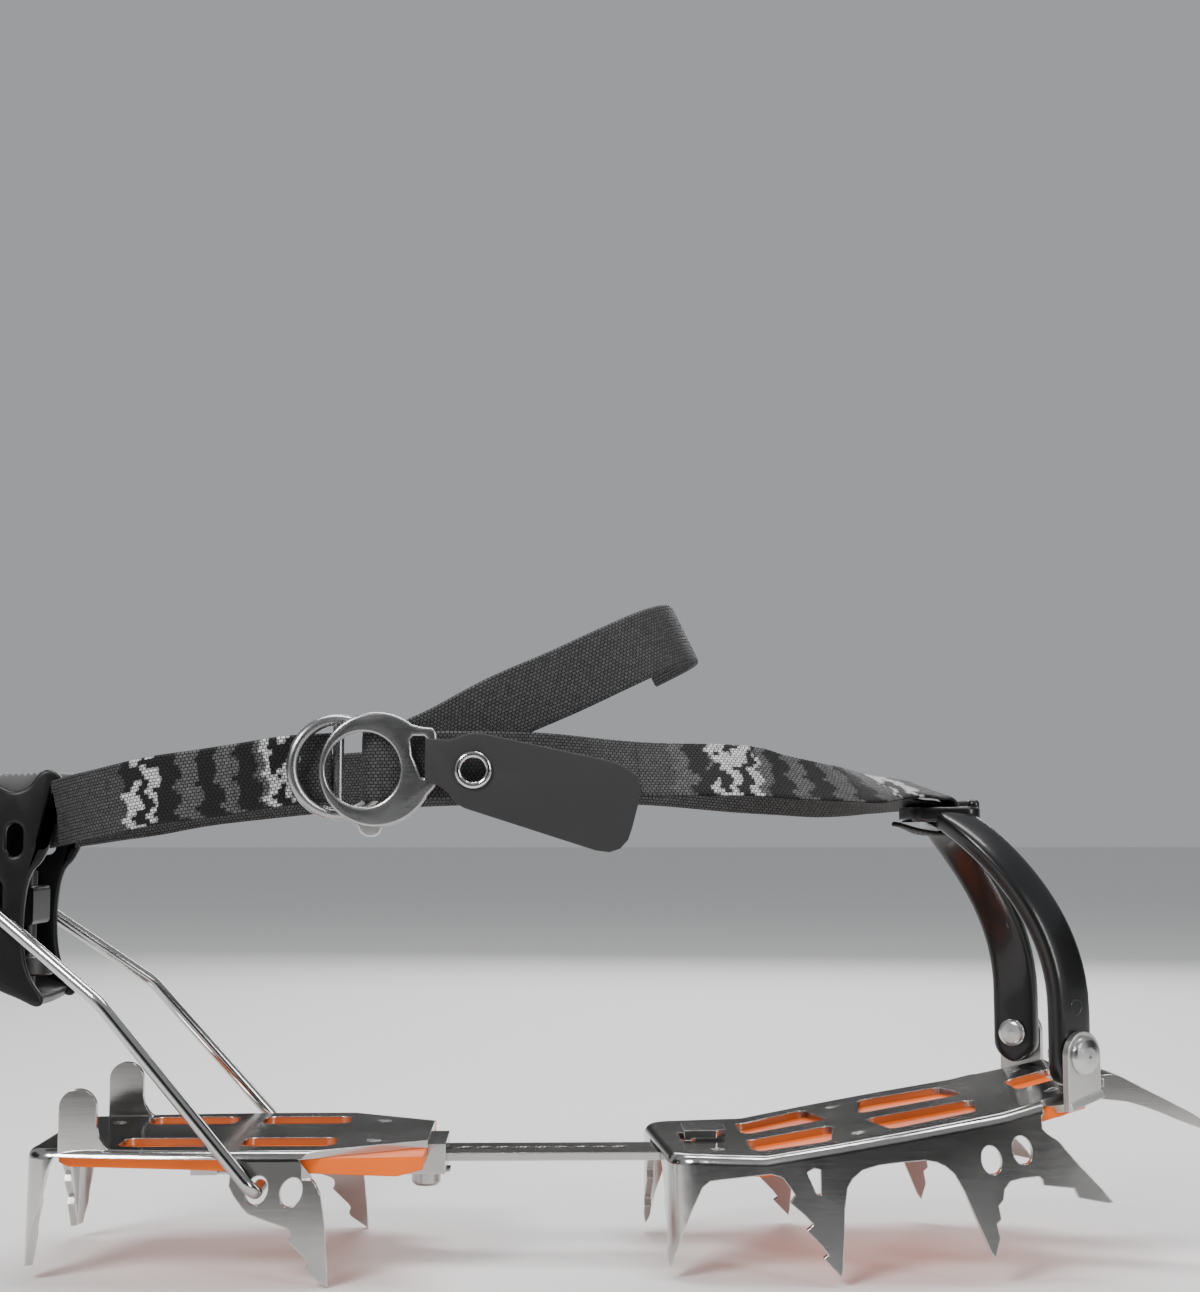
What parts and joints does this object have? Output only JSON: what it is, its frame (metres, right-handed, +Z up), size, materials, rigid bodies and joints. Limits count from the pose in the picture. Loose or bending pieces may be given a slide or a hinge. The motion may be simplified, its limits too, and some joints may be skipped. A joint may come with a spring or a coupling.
{
  "type": "crampon",
  "caption": "Semi-automatic crampon with steel front and rear sections on a flat linking bar, orange anti-balling plates, toe bail, heel lever and strap with a ring buckle.",
  "frame": {"origin": "on the ground under the middle of the crampon", "axes": "+X to the toe, +Y to the inside of the foot, +Z up"},
  "size_m": [0.389, 0.1183, 0.2011],
  "materials": {
    "stainless_steel": "polished stamped sheet",
    "rivet_steel": "polished",
    "post_steel": "satin",
    "antiball_plastic": "semi-gloss",
    "bail_plastic": "glossy",
    "lever_plastic": "satin",
    "grip_rubber": "ribbed",
    "ring_steel": "dark satin",
    "tab_metal": "matte",
    "eyelet_chrome": "bright",
    "webbing": "plain weave"
  },
  "bodies": {
    "front": {"front_section": "stainless_steel", "front_antiball_plate": "antiball_plastic", "front_plate_rivets": "rivet_steel", "toe_posts": "post_steel", "bail_rivets": "rivet_steel"},
    "toe_bail": {"toe_bail": "bail_plastic", "toe_bail_feet": "bail_plastic"},
    "bar": {"linking_bar": "stainless_steel"},
    "rear": {"rear_section": "stainless_steel", "bar_guides": "stainless_steel", "rear_antiball_plate": "antiball_plastic", "rear_plate_rivets": "rivet_steel", "lock_spring": "stainless_steel", "heel_strap": "webbing", "toe_strap": "webbing", "far_strap": "webbing", "tail_strap": "webbing"},
    "lock": {"lock_pin": "rivet_steel"},
    "heel_bail": {"heel_bail_wire": "stainless_steel"},
    "adjuster": {"adjuster_block": "rivet_steel"},
    "heel_lever": {"heel_lever": "lever_plastic", "lever_grip": "grip_rubber"},
    "screw": {"adjuster_screw": "rivet_steel"},
    "buckle": {"buckle_ring": "ring_steel"},
    "release": {"release_ring": "ring_steel"},
    "pull_tab": {"pull_tab": "tab_metal", "pull_tab_eyelet": "eyelet_chrome"}
  },
  "joints": [
    {"name": "bar_flex", "type": "hinge", "parent": "front", "child": "bar", "pos_m": [0.0292, 0, 0.0345], "axis": [0, 1, 0], "range_deg": [-3, 3], "stiffness_Nm_per_rad": 60},
    {"name": "length_adjust", "type": "slide", "parent": "bar", "child": "rear", "axis": [1, 0, 0], "range_m": [-0.018, 0.018]},
    {"name": "lock_release", "type": "slide", "parent": "rear", "child": "lock", "axis": [0, 0, -1], "range_m": [0, 0.0036], "stiffness_N_per_m": 1500, "springref_m": -0.002, "deforming": ["lock_spring"]},
    {"name": "heel_bail_swing", "type": "hinge", "parent": "rear", "child": "heel_bail", "pos_m": [-0.0979, 0, 0.0272], "axis": [0, 1, 0], "range_deg": [-20, 10], "deforming": ["heel_strap", "far_strap", "tail_strap"]},
    {"name": "lever_swing", "type": "hinge", "parent": "heel_bail", "child": "adjuster", "pos_m": [-0.181, 0, 0.1075], "axis": [0, -1, 0], "range_deg": [0, 60]},
    {"name": "micro_adjust", "type": "slide", "parent": "adjuster", "child": "heel_lever", "axis": [0, 0, -1], "range_m": [0, 0.006]},
    {"name": "screw_spin", "type": "hinge", "parent": "heel_lever", "child": "screw", "pos_m": [-0.176, 0, 0.1], "axis": [0, 0, 1], "range_deg": [0, 1440]},
    {"name": "toe_bail_swing", "type": "hinge", "parent": "front", "child": "toe_bail", "pos_m": [0.1413, 0, 0.0643], "axis": [0, 1, 0], "range_deg": [-10, 35], "deforming": ["toe_bail_feet", "toe_strap"]},
    {"name": "buckle_swing", "type": "hinge", "parent": "rear", "child": "buckle", "pos_m": [-0.0747, -0.053, 0.1488], "axis": [0, 0, 1], "range_deg": [-4, 4]},
    {"name": "release_swing", "type": "hinge", "parent": "rear", "child": "release", "pos_m": [-0.056, -0.0568, 0.148], "axis": [0, 0, 1], "range_deg": [-2, 2]},
    {"name": "tab_pull", "type": "hinge", "parent": "release", "child": "pull_tab", "pos_m": [-0.04775, -0.0568, 0.148], "axis": [0, 0, -1], "range_deg": [0, 8]}
  ],
  "couplings": [
    {"joint": "screw_spin", "follows": "micro_adjust", "rad_per_m": 4188.8}
  ]
}
